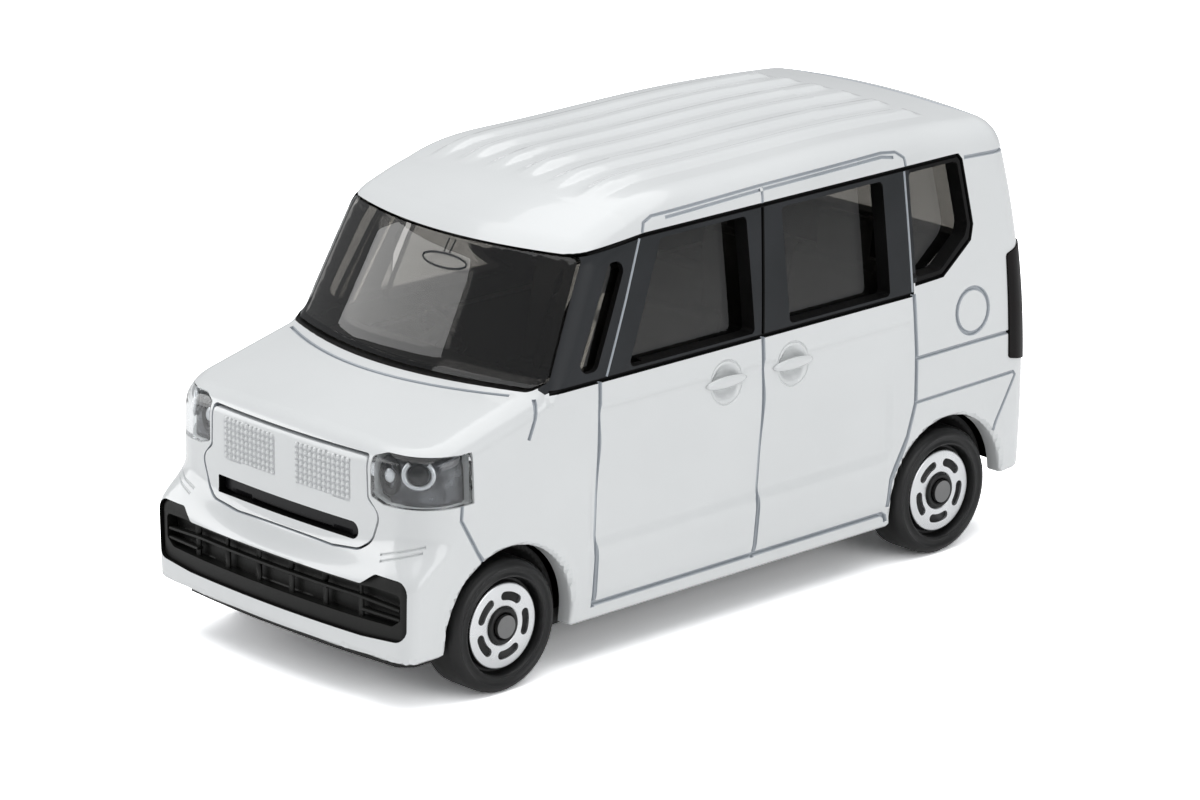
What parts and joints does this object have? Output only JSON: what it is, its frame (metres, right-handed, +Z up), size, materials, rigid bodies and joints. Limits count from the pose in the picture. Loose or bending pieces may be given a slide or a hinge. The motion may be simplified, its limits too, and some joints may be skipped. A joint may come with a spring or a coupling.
{
  "type": "toy kei van",
  "caption": "Die-cast toy of a tall box-shaped kei van with a painted metal shell, smoked windows, plastic base plate and free-rolling wheels on steel axles.",
  "frame": {"origin": "on the ground under the middle of the van's bounding box", "axes": "+X towards the van's left side, +Y towards the rear (the front faces -Y), +Z up"},
  "size_m": [0.0262, 0.0603, 0.0314],
  "materials": {
    "white_paint": "gloss white paint",
    "smoked_clear": "smoked clear plastic",
    "lamp_clear": "clear plastic",
    "black_plastic": "satin black",
    "dark_plastic": "satin black",
    "tail_plastic": "near-black gloss",
    "wheel_black": "semi-gloss black",
    "bright_foil": "bright stamped foil",
    "steel": "plain steel"
  },
  "bodies": {
    "root": {"body_shell": "white_paint", "window_unit": "smoked_clear", "grille_panel": "white_paint", "intake_bar": "black_plastic", "lower_grille": "black_plastic", "headlamp_lens_left": "lamp_clear", "headlamp_lens_right": "lamp_clear", "headlamp_inner_left": "black_plastic", "headlamp_inner_right": "black_plastic", "tail_lamp_left": "tail_plastic", "tail_lamp_right": "tail_plastic", "seat_moulding": "dark_plastic", "base_plate": "black_plastic", "axle_front": "steel", "axle_rear": "steel"},
    "wheel_front_left": {"wheel_front_left": "wheel_black", "wheel_face_front_left": "bright_foil"},
    "wheel_front_right": {"wheel_front_right": "wheel_black", "wheel_face_front_right": "bright_foil"},
    "wheel_rear_left": {"wheel_rear_left": "wheel_black", "wheel_face_rear_left": "bright_foil"},
    "wheel_rear_right": {"wheel_rear_right": "wheel_black", "wheel_face_rear_right": "bright_foil"}
  },
  "joints": [
    {"name": "wheel_front_left_spin", "type": "hinge", "parent": "root", "child": "wheel_front_left", "pos_m": [0.01, -0.0208, 0.00458], "axis": [1, 0, 0], "continuous": true},
    {"name": "wheel_front_right_spin", "type": "hinge", "parent": "root", "child": "wheel_front_right", "pos_m": [-0.01, -0.0208, 0.00458], "axis": [1, 0, 0], "continuous": true},
    {"name": "wheel_rear_left_spin", "type": "hinge", "parent": "root", "child": "wheel_rear_left", "pos_m": [0.01, 0.02075, 0.00458], "axis": [1, 0, 0], "continuous": true},
    {"name": "wheel_rear_right_spin", "type": "hinge", "parent": "root", "child": "wheel_rear_right", "pos_m": [-0.01, 0.02075, 0.00458], "axis": [1, 0, 0], "continuous": true}
  ]
}
